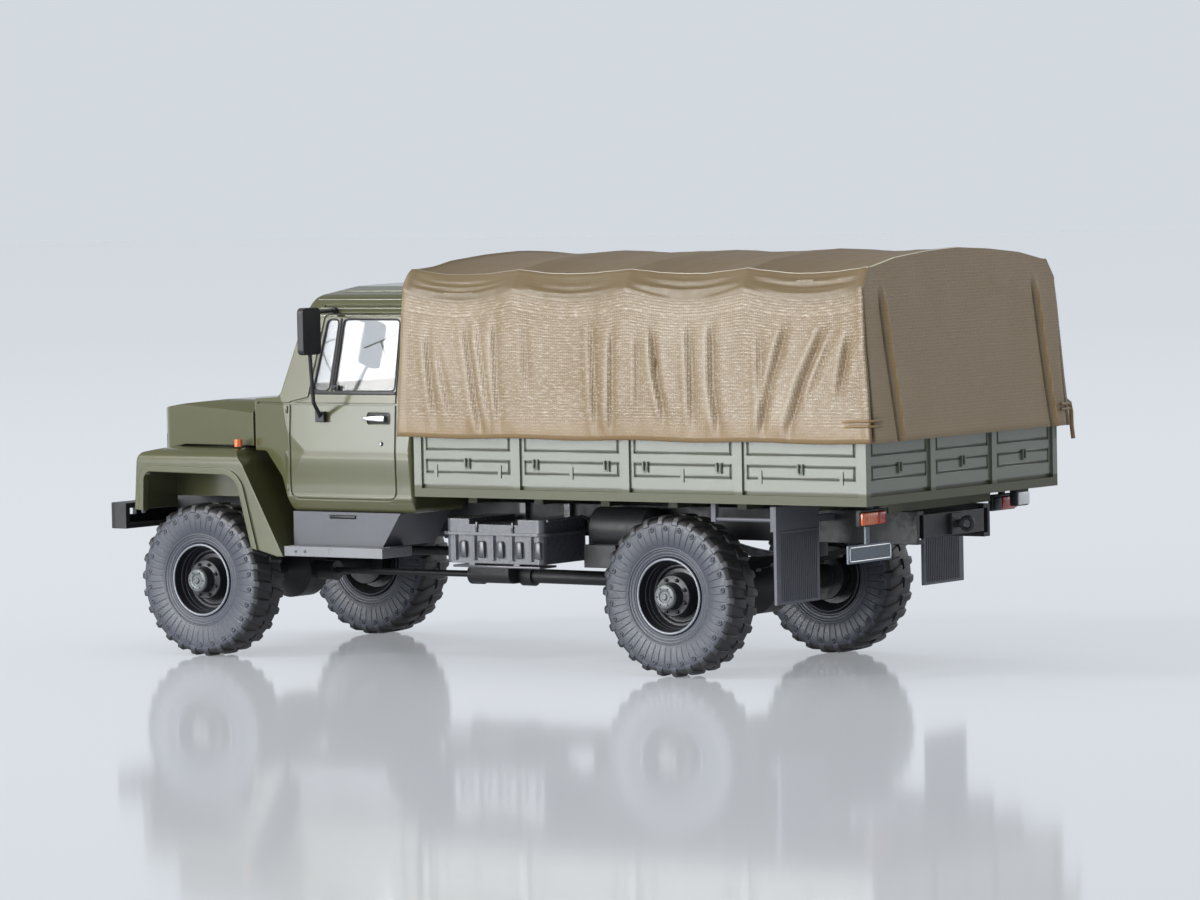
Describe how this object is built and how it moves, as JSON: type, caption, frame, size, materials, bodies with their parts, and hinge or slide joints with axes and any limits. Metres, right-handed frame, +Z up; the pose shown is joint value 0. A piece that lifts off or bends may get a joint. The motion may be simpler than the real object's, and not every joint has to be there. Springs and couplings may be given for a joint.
{
  "type": "military cargo truck scale model",
  "caption": "Bonneted four-wheel-drive cargo truck as a 1:43 scale model, with hollow cab, dropside bed, canvas-covered load space and free-turning lugged wheels",
  "frame": {"origin": "on the ground under the middle of the bounding box", "axes": "+X to the truck's left, +Y to its rear, +Z up; the front faces -Y"},
  "size_m": [0.0626, 0.1452, 0.0617],
  "materials": {
    "body_green": "semi-gloss olive green paint",
    "bed_green": "satin grey-green moulding",
    "cover_tan": "woven canvas texture, semi-matt tan",
    "box_grey": "satin grey-green moulding",
    "clear_glass": "clear glazing",
    "lamp_lens": "ribbed clear lens",
    "lamp_orange": "orange lens",
    "lamp_red": "red and orange lens",
    "tyre_rubber": "matt dark grey rubber",
    "rim_black": "satin black",
    "interior_black": "matt black",
    "bright_trim": "bright metal",
    "plate_slate": "blank dark plate",
    "chassis_black": "satin black moulding"
  },
  "bodies": {
    "truck": {"air_reservoir": "chassis_black", "bed_floor": "bed_green", "bed_side_left": "bed_green", "bed_side_right": "bed_green", "bonnet": "body_green", "cab_floor": "interior_black", "cab_shell": "body_green", "dashboard": "interior_black", "door_handles": "bright_trim", "engine_gearbox": "chassis_black", "exhaust": "chassis_black", "frame_crossmembers": "chassis_black", "frame_rail_left": "chassis_black", "frame_rail_right": "chassis_black", "front_axle": "chassis_black", "front_bumper": "chassis_black", "front_springs": "chassis_black", "fuel_tank_left": "chassis_black", "fuel_tank_right": "chassis_black", "grille_panel": "chassis_black", "headboard": "bed_green", "headlamps": "lamp_lens", "marker_lamps": "lamp_orange", "mirror_left": "chassis_black", "mirror_right": "chassis_black", "mudflap_left": "chassis_black", "mudflap_right": "chassis_black", "number_plate": "plate_slate", "propshafts": "chassis_black", "rear_axle": "chassis_black", "rear_springs": "chassis_black", "rear_window": "clear_glass", "screw_post_front": "chassis_black", "screw_post_rear": "chassis_black", "seats": "interior_black", "side_window_left": "clear_glass", "side_window_right": "clear_glass", "steering_wheel": "interior_black", "step_box_left": "box_grey", "step_box_right": "box_grey", "step_left": "chassis_black", "step_right": "chassis_black", "tail_lamps": "lamp_red", "tailgate": "bed_green", "tarp_cover": "cover_tan", "tow_hook": "chassis_black", "transfer_case": "chassis_black", "windscreen": "clear_glass", "wing_left": "body_green", "wing_right": "body_green"},
    "wheel_front_left": {"tyre_front_left": "tyre_rubber", "rim_front_left": "rim_black"},
    "wheel_front_right": {"tyre_front_right": "tyre_rubber", "rim_front_right": "rim_black"},
    "wheel_rear_left": {"tyre_rear_left": "tyre_rubber", "rim_rear_left": "rim_black"},
    "wheel_rear_right": {"tyre_rear_right": "tyre_rubber", "rim_rear_right": "rim_black"}
  },
  "joints": [
    {"name": "spin_front_left", "type": "hinge", "parent": "truck", "child": "wheel_front_left", "pos_m": [0.0212, -0.0526, 0.01185], "axis": [1, 0, 0], "continuous": true},
    {"name": "spin_front_right", "type": "hinge", "parent": "truck", "child": "wheel_front_right", "pos_m": [-0.0212, -0.0526, 0.01185], "axis": [1, 0, 0], "continuous": true},
    {"name": "spin_rear_left", "type": "hinge", "parent": "truck", "child": "wheel_rear_left", "pos_m": [0.0212, 0.0351, 0.01185], "axis": [1, 0, 0], "continuous": true},
    {"name": "spin_rear_right", "type": "hinge", "parent": "truck", "child": "wheel_rear_right", "pos_m": [-0.0212, 0.0351, 0.01185], "axis": [1, 0, 0], "continuous": true}
  ]
}
